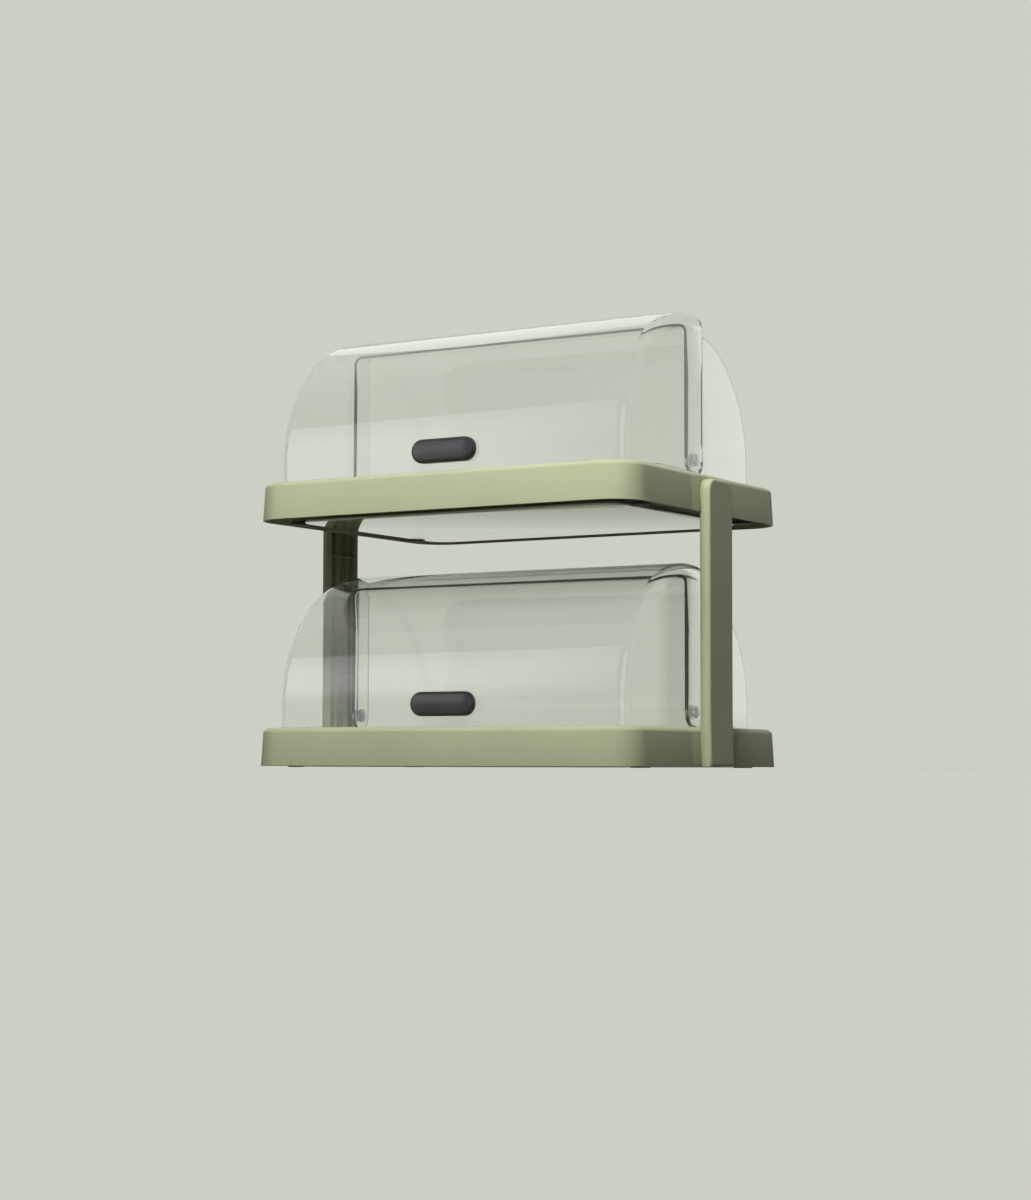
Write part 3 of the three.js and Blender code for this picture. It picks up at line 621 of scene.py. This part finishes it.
for tier, name in enumerate(tier_names):
    lift = tier * tier_pitch
    parts = [surface(base_frame_grid(lift), loop=True)]
    for side in (-1, 1):
        parts += [rib_plate(side_rib, "y", side, x, lift) for x in side_rib_places]
        parts += [rib_plate(end_rib, "x", side, y, lift) for y in end_rib_places]
    parts += [turned_on(foot_boss, (x, y, lift), "z") for x, y in foot_places]
    made = piece(f"{name}_base_moulding", parts, sage, "stand", f"{name}_base_frame")
    print(made.name, "faces:", len(made.data.polygons))

# %% [markdown]
# ## Bottom panels
#
# A smooth flat panel closes the tub of each base from below. It reaches a little past the tub all round. A
# box with a bevel would do, but a stack of rounded rectangles gives its edge the same corners as the tub.

# %% Bottom panel
panel_outline = np.array([189.2, 134.4, 24.7])
panel_edge = [(1.2, 0.3), (0.5, 0.5), (0, 1.1), (0, 2.6), (0.4, 3.15), (1.0, 3.3)]
for tier, name in enumerate(tier_names):
    stack = rings([(*(panel_outline - inset), height) for inset, height in panel_edge])
    parts = [surface(stack + [0, 0, tier * tier_pitch], caps=True)]
    node = f"{name}_bottom_panel"
    made = piece(f"{name}_smooth_panel", parts, smooth_sage, "stand", node)
    print(made.name, "faces:", len(made.data.polygons))

# %% [markdown]
# ## Rubber feet
#
# A foot is a disc with a soft edge and two shallow rings moulded into its sole. It stands in the open
# channel between the tub and the skirt, and its stem goes up into a boss of the frame. Discs on top of each
# other would show their joints, so one profile is turned about the foot's axis.

# %% Feet
foot_profile = [
    (0.5, 0.25), (2.6, 0.25), (3.0, 0.0), (5.4, 0.0), (5.8, 0.35), (6.3, 0.35), (6.7, 0.0), (8.8, 0.0),
    (9.6, 0.2), (10.0, 0.6), (10.0, 2.5), (9.7, 2.9), (9.2, 3.0), (2.6, 3.0), (2.5, 3.2), (2.5, 11.4),
    (2.0, 12.0), (0.5, 12.0),
]
corner_names = ("front_left", "front_right", "back_left", "back_right")
feet = []
for tier, name in enumerate(tier_names):
    for corner_name, (x, y) in zip(corner_names, foot_places):
        turned = turned_on(foot_profile, (x, y, tier * tier_pitch), "z", 48)
        node = f"{name}_foot_{corner_name}"
        foot = piece(f"{name}_rubber_foot_{corner_name}", [turned], rubber, "stand", node)
        feet.append(foot)
print("feet:", len(feet), "faces each:", len(foot.data.polygons))

# %% [markdown]
# ## Cold packs
#
# The freezer packs are blow-moulded: a rounded slab, a sunk panel on top with a raised border, and a round
# filling plug. The levels of the slab and of the panel are again rounded rectangles. The profile isn't
# closed, so the first half of its first rounding, which would join it to its end, is left out.

# %% Cold packs
pack_profile = [
    (84.1, 111.6, 12, 3.6, 1.2), (88.25, 115.5, 16, 3.6, 2.6), (88.25, 115.5, 16, 19.0, 2.6),
    (79.5, 107.0, 12, 19.0, 1.2), (78.0, 105.5, 11, 17.8, 1.0), (56.5, 84.0, 8, 17.8, 0),
]
plug_profile = [(2, 17), (11, 17), (11, 19.1), (10.6, 19.5), (4, 19.5), (3.5, 18.9), (2, 18.9)]
pack_place, plug_setback = 89.75, -89.5
inner_half = 3
packs = []
for tier, name in enumerate(tier_names):
    for side, hand in ((1, "right"), (-1, "left")):
        centre = np.array([side * pack_place, 0, tier * tier_pitch])
        levels = smooth_corners(pack_profile)[inner_half:]
        body = surface(rings(levels) + centre, caps=True)
        plug = turned_on(plug_profile, centre + [0, plug_setback, 0], "z")
        node = f"{name}_cold_pack_{hand}"
        pack = piece(f"{name}_freezer_pack_{hand}", [body, plug], pack_blue, "stand", node)
        packs.append(pack)
print("packs:", len(packs), "faces each:", len(pack.data.polygons))

# %% [markdown]
# ## Serving trays
#
# The tray is pressed from one sheet. Both skins could be drawn, but they would have to stay parallel, so the
# upper one alone is drawn, from the flange over two radii to the floor, and Solidify gives the thickness.

# %% Serving tray
tray_profile = [
    (195.4, 125.9, 15, 34.3, 0), (188, 118.5, 15, 34.3, 2.2),
    (184.0, 114.5, 12, 21.3, 4.5), (150, 90, 8, 21.3, 0),
]
sheet_steel = 0.001
for tier, name in enumerate(tier_names):
    drawn = smooth_corners(tray_profile, 6)
    grid = rings(drawn) + [0, 0, tier * tier_pitch]
    points, faces = surface(grid)
    faces.append(list(range(len(points) - grid.shape[1], len(points))))
    node = f"{name}_serving_tray"
    made = piece(f"{name}_steel_tray", [(points, faces)], tray_steel, "stand", node)
    if made.data.polygons[-1].normal.z < 0:
        made.data.flip_normals()
    sheet = made.modifiers.new("sheet_thickness", "SOLIDIFY")
    sheet.thickness, sheet.offset, sheet.use_even_offset = sheet_steel, -1, True
    print(made.name, "faces:", len(made.data.polygons))

# %% [markdown]
# ## Clear covers: the section
#
# A cover is half of a barrel with flat ends. Its outline runs from the bottom edge up the wall and over the
# crown, and that of the front cover turns down in a rounded corner. It could be cut out of a cylinder, but
# it has to shrink where the barrel rounds into its ends, so it is a function of its radius.

# %% Cover section
pin_height, centre_height, cover_foot = 55.0, 61.0, 36.3
pin_hole, shell_wall, lip_round, lip_depth, rim_break = 3.3, 2.5, 8.0, 9.5, 0.7
wall_steps, crown_steps, corner_steps, edge_steps = 6, 72, 8, 14
front_radius, front_edge = 142.5, 17.0
back_radius, back_edge = 131.0, 14.0


def rear_corner(radius, edge, full_radius):
    """Where the crown of a cover ends, as an angle on its circle, and the rounded part of its rear edge. The
    rounding is a circle that touches the full crown from inside and the rear edge: a section drawn smaller
    meets it later, by the law of cosines, or misses it and meets the straight edge."""
    middle = np.array([edge - lip_round, math.sqrt((full_radius - lip_round) ** 2 - (edge - lip_round) ** 2)])
    distance = full_radius - lip_round
    cosine = (distance**2 + radius**2 - lip_round**2) / (2 * distance * radius)
    last = math.pi / 2 + math.asin(middle[0] / distance) + math.acos(min(1.0, cosine))
    start = np.array([-radius * math.cos(last), radius * math.sin(last)]) - middle
    b = np.linspace(math.atan2(start[1], -start[0]), math.pi, corner_steps + 1)[1:]
    if start[1] > 0:
        return last, middle + lip_round * np.column_stack([-np.cos(b), np.sin(b)])
    last = math.pi / 2 + math.asin(edge / radius)
    below = np.linspace(0.1, 0.8, corner_steps)
    return last, np.column_stack([np.full(corner_steps, edge), radius * math.sin(last) - below])


def cover_section(radius, edge, full_radius, lip):
    """Points (y, z) of a cover that lies towards -Y: an upright wall, the circle y = -R cos a,
    z = c + R sin a, and where there is a lip its rounding and its lower edge."""
    wall_z = np.linspace(cover_foot, centre_height, wall_steps + 1)[:-1]
    upright = np.column_stack([np.full(wall_steps, -radius), wall_z])
    last = math.pi / 2 + math.asin(edge / radius)
    if lip:
        last, rounding = rear_corner(radius, edge, full_radius)
    a = np.linspace(0, last, crown_steps)
    outline = [upright, np.column_stack([-radius * np.cos(a), centre_height + radius * np.sin(a)])]
    if lip:
        rounding = rounding + [0, centre_height]
        lowest = min(centre_height + full_radius - lip_depth, rounding[-1, 1] - 1)
        outline += [rounding, [[edge, lowest]]]
    return np.concatenate(outline)


print("points in the front section:", len(cover_section(front_radius, front_edge, front_radius, True)))

# %% [markdown]
# ## Clear covers: the barrel and its ends
#
# The barrel carries the section along X and rounds it into the flat ends, and each end is a fan of straight
# lines from the pin's hole out to the edge. The inner skin could be drawn too, but Solidify makes it at an
# even distance. A small bevel breaks the rims, which is where clear plastic catches the light.

# %% Cover barrel and ends
def cover_grids(radius, half_length, edge, lip, end_round):
    """The barrel as one grid, and each flat end as a fan of lines from the pin's hole to the end's edge."""
    turn_angles = np.linspace(0, math.pi / 2, 10)
    inset = end_round * (1 - np.cos(turn_angles))
    reach = half_length - end_round + end_round * np.sin(turn_angles)
    x = np.concatenate([-reach[::-1], reach])
    inward = np.concatenate([inset[::-1], inset])
    yz = np.stack([cover_section(radius - i, edge, radius, lip) for i in inward])
    barrel = np.concatenate([np.broadcast_to(x[:, None, None], yz.shape[:2] + (1,)), yz], -1)
    rim = yz[-1]
    down = np.linspace(rim[-1, 1] - 4, pin_height, edge_steps)
    edge_points = np.column_stack([np.full(edge_steps, edge), down])
    hub = np.linspace(0, math.pi / 2, 9)[1:]
    hub_points = np.column_stack([edge * np.cos(hub), pin_height - edge * np.sin(hub)])
    foot_y = np.linspace(-edge, rim[0, 0], edge_steps)[:-1]
    foot_points = np.column_stack([foot_y, np.full(edge_steps - 1, cover_foot)])
    border = np.concatenate([rim, edge_points, hub_points, foot_points])
    towards = np.arctan2(border[:, 1] - pin_height, border[:, 0])
    hole = np.column_stack([pin_hole * np.cos(towards), pin_height + pin_hole * np.sin(towards)])
    share = np.array([0, 0.02, 0.12, 0.5, 1.0])[:, None, None]
    fan = hole[None] + share * (border - hole)[None]
    ends = []
    for side in (-1, 1):
        flat = np.full(fan.shape[:2] + (1,), side * half_length)
        ends.append(np.concatenate([flat, fan], -1))
    return barrel, ends


def cover(name, grids, back, lift, body, node):
    """A closed clear cover. The one at the back is the front one's shape turned round."""
    barrel, ends = grids
    turned = np.array([1, -1 if back else 1, 1])
    parts = [surface(barrel * turned + [0, 0, lift], around=False)]
    parts += [surface(end * turned + [0, 0, lift]) for end in ends]
    made = piece(name, parts, acrylic, body, node, sharp=30)
    thickness = made.modifiers.new("wall", "SOLIDIFY")
    thickness.thickness, thickness.offset = shell_wall / 1000, -1
    thickness.use_even_offset = thickness.use_quality_normals = True
    rim_bevel = made.modifiers.new("rims", "BEVEL")
    rim_bevel.width, rim_bevel.segments = rim_break / 1000, 2
    rim_bevel.limit_method, rim_bevel.angle_limit = "ANGLE", math.radians(50)
    return made


print("cover helpers ready")

# %% [markdown]
# ## Front and back covers
#
# The front cover is the outer one. It rides on its own body, which rolls about the pins. The back cover
# stays put. It could be a scaled copy of the front one, but then its wall would get thinner, so the same
# functions draw it from smaller numbers.

# %% Front and back covers
front_grids = cover_grids(front_radius, half_length=204.5, edge=front_edge, lip=True, end_round=12.0)
back_grids = cover_grids(back_radius, half_length=200.5, edge=back_edge, lip=False, end_round=9.0)
for tier, name in enumerate(tier_names):
    lift = tier * tier_pitch
    body, node = f"{name}_front_cover", f"{name}_front_shell"
    front = cover(f"{name}_front_cover_clear", front_grids, False, lift, body, node)
    rear = cover(f"{name}_back_cover_clear", back_grids, True, lift, "stand", f"{name}_back_shell")
    print(front.name, len(front.data.polygons), rear.name, len(rear.data.polygons))

# %% [markdown]
# ## Pivot pins
#
# A pin looks like a clear rivet: a wide low head inside, a smaller domed one outside, and a shaft between.
# Three cylinders would meet in seams that show in clear plastic, so it is one turned profile.

# %% Pivot pins
pin_profile = [
    (0.5, 195.9), (5.6, 195.9), (6.6, 196.3), (7.0, 196.9), (7.0, 197.7), (3.2, 197.7), (3.0, 198.0),
    (3.0, 204.6), (3.2, 204.8), (6.0, 204.8), (6.0, 205.3), (5.5, 206.0), (4.2, 206.5), (2.2, 206.6),
    (0.5, 206.6),
]
pins = []
for tier, name in enumerate(tier_names):
    for side, hand in ((1, "right"), (-1, "left")):
        profile = np.array(pin_profile) * [1, side]
        turned = turned_on(profile, (0, 0, pin_height + tier * tier_pitch), "x", 40)
        node = f"{name}_pivot_pin_{hand}"
        pin = piece(f"{name}_pin_{hand}", [turned], pin_acrylic, "stand", node)
        pins.append(pin)
print("pins:", len(pins), "faces each:", len(pin.data.polygons))

# %% [markdown]
# ## Handles
#
# The grip is a pill-shaped block with rounded edges and a slightly domed face. A bevelled block would have
# a flat back, but this one follows the cover's curve. So it is a stack of rings: each is the same pill drawn
# in by an offset, and goes a step further from the cover. The face has no relief, only satin.

# %% Grip shape
pill_half, pill_radius, grip_height = 24.65, 12.1, 62.4
flush_depth, edge_round = 4.0, 5.0
face_dome = [(6.5, 9.35), (8.3, 9.62), (10.2, 9.8), (11.8, 9.88)]


def pill(offset, steps=28):
    """A ring (x, z): two half circles joined by straight lines, drawn in by the offset."""
    a = np.linspace(-math.pi / 2, math.pi / 2, steps)
    radius = pill_radius - offset
    right_end = np.column_stack([pill_half + radius * np.cos(a), radius * np.sin(a)])
    return np.concatenate([right_end, -right_end])


def handle_grid(lift):
    """Pill rings from the cover's surface outwards: back, side, rounded edge, domed face."""
    quarter = np.linspace(0, math.pi / 2, 7)
    steps = [(0.4, 0.3), (0.0, 0.6), (0.0, flush_depth)]
    steps += [(edge_round * (1 - math.cos(q)), flush_depth + edge_round * math.sin(q)) for q in quarter[1:]]
    stack = []
    for offset, out in steps + face_dome:
        ring = pill(offset)
        height = grip_height + ring[:, 1]
        above = np.maximum(height - centre_height, 0)
        curve = front_radius - np.sqrt(front_radius**2 - above**2)
        follow = max(0.0, 1 - out / flush_depth)
        y = -front_radius - out + curve * follow
        stack.append(np.column_stack([ring[:, 0], y, height + lift]))
    return np.stack(stack)


print("rings of a grip:", len(handle_grid(0)))

# %% [markdown]
# ## Screws
#
# Two screws hold each grip from inside the cover. A screw is a turned shape. Its cross could be cut out by a
# boolean, but at this size it is enough to press down the points of the head that lie near the two arms.

# %% Screw shape and handles
screw_head = (3.8, 2.0)
dome_drop, cross_half, cross_reach, cross_depth = 0.28, 0.13, 0.62, 0.45
grip_screw_shaft, grip_screw_side, grip_screw_seat = (1.8, 8.8), 22, -139.7


def pan_head_screw(centre, axis, shaft, direction):
    """A turned screw: its head stands from 0 to the head's height against the direction, its shaft goes the
    other way, and a cross is sunk into the head by pressing down the points near its two arms."""
    radius, height = screw_head
    shaft_radius, shaft_length = shaft
    radii = np.concatenate([np.linspace(0.15, radius * 0.8, 9), [radius * 0.93, radius]])
    dome = height * (1 - dome_drop * (radii / radius) ** 2)
    shank = [(radius, 0.0), (shaft_radius, 0.0), (shaft_radius, shaft_length), (0.3, shaft_length + 0.3)]
    profile = np.array([*zip(radii, -dome), *shank])
    points, faces = turned_on(profile * [1, direction], (0, 0, 0), axis, 48)
    across = {"x": (1, 2), "y": (0, 2)}[axis]
    along = {"x": 0, "y": 1}[axis]
    arms = np.minimum(np.abs(points[:, across[0]]), np.abs(points[:, across[1]])) < radius * cross_half
    inside = np.hypot(points[:, across[0]], points[:, across[1]]) < radius * cross_reach
    sunk = arms & inside & (points[:, along] * direction < 0)
    points[sunk, along] += direction * height * cross_depth
    return points + np.array(centre, float), faces


for tier, name in enumerate(tier_names):
    lift = tier * tier_pitch
    body = f"{name}_front_cover"
    block = surface(handle_grid(lift), caps=True)
    grip = piece(f"{name}_grip", [block], anthracite, body, f"{name}_handle")
    for x, hand in ((-grip_screw_side, "left"), (grip_screw_side, "right")):
        turned = pan_head_screw((x, grip_screw_seat, grip_height + lift), "y", grip_screw_shaft, -1)
        node = f"{name}_handle_screw_{hand}"
        screw = piece(f"{name}_grip_screw_{hand}", [turned], screw_steel, body, node)
    print(grip.name, "faces:", len(grip.data.polygons), "and of a screw:", len(screw.data.polygons))

# %% [markdown]
# ## Posts: the shell
#
# A post is a shallow moulded tray on edge, open towards the bases: a closed outline with a rounded top, a
# wall all round it, a rounded edge and a flat outer plate. It could be a block with a pocket, but its wall is
# thin and even. So the outline is carried from the open rim over the edge to the plate's middle line, and
# Solidify gives the wall.

# %% Post shell
post_inner, post_outer, post_half, post_foot, post_top, top_round = 222.7, 233.5, 25.5, 1.0, 285.0, 13.0
post_wall, plate_edge, foot_round, side_steps = 2.5, 2.5, 0.4, 24
flare, flare_top, flare_height = 1.2, 50, 49


def post_outline(inset, steps=12):
    """A closed ring (y, z) up the back side, over the two rounded top corners and down the front side."""
    half, radius = post_half - inset, max(top_round - inset, foot_round)
    top, foot = post_top - inset, post_foot + inset
    up_side = np.linspace(foot + foot_round, top - radius, side_steps)
    a = np.linspace(0, math.pi / 2, steps)[1:]
    quarter = np.column_stack([half - radius + radius * np.cos(a), top - radius + radius * np.sin(a)])
    side = np.column_stack([np.full(side_steps, half), up_side])
    bottom = np.array([[half - foot_round, foot]])
    back_half = np.concatenate([bottom, side, quarter])
    return np.concatenate([back_half, (back_half * [-1, 1])[::-1]])


def post_grid(side):
    """Rings from the open rim out to the rounded edge of the plate. Near the floor the plate flares out."""
    quarter = np.linspace(0, math.pi / 2, 6)
    start = post_outer - plate_edge
    steps = [(0.0, post_inner), (0.0, start)]
    steps += [(plate_edge * (1 - math.cos(q)), start + plate_edge * math.sin(q)) for q in quarter[1:]]
    steps += [(4.0, post_outer), (8.0, post_outer)]
    stack = []
    for inset, x in steps:
        ring = post_outline(inset)
        out = flare * np.clip((flare_top - ring[:, 1]) / flare_height, 0, 1) * (x > post_inner)
        stack.append(np.column_stack([side * (x + out), ring]))
    return np.stack(stack)


def post_shell(side):
    """The rings as quads, and level strips across the last one, which make the flat of the plate."""
    grid = post_grid(side)
    points, faces = surface(grid)
    count = grid.shape[1]
    half = np.arange(count // 2 - 1)
    strips = np.column_stack([half, half + 1, count - 2 - half, count - 1 - half])
    return points, faces + (strips + (len(grid) - 1) * count).tolist()


print("rings of a post:", len(post_grid(1)))

# %% [markdown]
# ## Posts: ribs and bosses
#
# A grid of ribs stiffens a post from inside, and a round boss takes each screw. The ribs could be cut out of
# a block, but thin boxes that cross each other have the same look and keep their edges soft.

# %% Posts
rib_heights = 59.3 + 42.2 * np.arange(-1, 6)
rib_inner, rib_outer, rib_half = 224.7, 231.8, 0.8
level_reach, upright_place, upright_ends = 23.6, 9.7, (3, 283)
post_boss = [(2.3, 229.4), (2.3, 222.8), (4.8, 222.8), (5.0, 223.0), (5.0, 231.8), (2.3, 231.8)]
boss_place, boss_height = 14, 18.0


def slab(low, high, edge=0.3):
    """A thin box with small bevelled edges between two corners, as a stack of four rings."""
    low, high = np.array(low, float), np.array(high, float)
    centre, half = (low + high) / 2, (high - low) / 2
    levels = [(edge, -half[2]), (0, edge - half[2]), (0, half[2] - edge), (edge, half[2])]
    stack = [
        rounded_rectangle(half[0] - inset, half[1] - inset, edge / 2, level, corner_steps=2)
        for inset, level in levels
    ]
    return surface(np.stack(stack) + centre, caps=True)


for side, hand in ((1, "right"), (-1, "left")):
    shell = piece(f"{hand}_post_plate", [post_shell(side)], sage, "stand", f"{hand}_post")
    thickness = shell.modifiers.new("wall", "SOLIDIFY")
    thickness.thickness, thickness.offset, thickness.use_even_offset = post_wall / 1000, -1, True
    parts = []
    low_x, high_x = sorted((side * rib_inner, side * rib_outer))
    for z in rib_heights:
        parts.append(slab((low_x, -level_reach, z - rib_half), (high_x, level_reach, z + rib_half)))
    for y in (-upright_place, upright_place):
        low_y, high_y = y - rib_half, y + rib_half
        parts.append(slab((low_x, low_y, upright_ends[0]), (high_x, high_y, upright_ends[1])))
    for z in (boss_height, boss_height + tier_pitch):
        for y in (-boss_place, boss_place):
            parts.append(turned_on(np.array(post_boss) * [1, side], (0, y, z), "x", 24))
    ribs = piece(f"{hand}_post_ribs", parts, sage, "stand", f"{hand}_post")
    print(shell.name, "faces:", len(shell.data.polygons), ribs.name, "faces:", len(ribs.data.polygons))

# %% [markdown]
# ## Post screws
#
# Two screws hold each post at each base, from inside the hollow of the frame. They have the heads of the
# screws in the grips and a longer shaft, so the same helper turns them.

# %% Post screws
post_screw_seat, post_screw_shaft = 218.98, (2.0, 9.9)
screws = []
for tier, name in enumerate(tier_names):
    for side, hand in ((1, "right"), (-1, "left")):
        for y, row in ((-boss_place, "front"), (boss_place, "back")):
            place = (side * post_screw_seat, y, boss_height + tier * tier_pitch)
            turned = pan_head_screw(place, "x", post_screw_shaft, side)
            node, screw_name = f"{name}_post_screw_{hand}_{row}", f"{name}_long_screw_{hand}_{row}"
            screws.append(piece(screw_name, [turned], screw_steel, "stand", node))
print("post screws:", len(screws), "faces each:", len(screws[0].data.polygons))
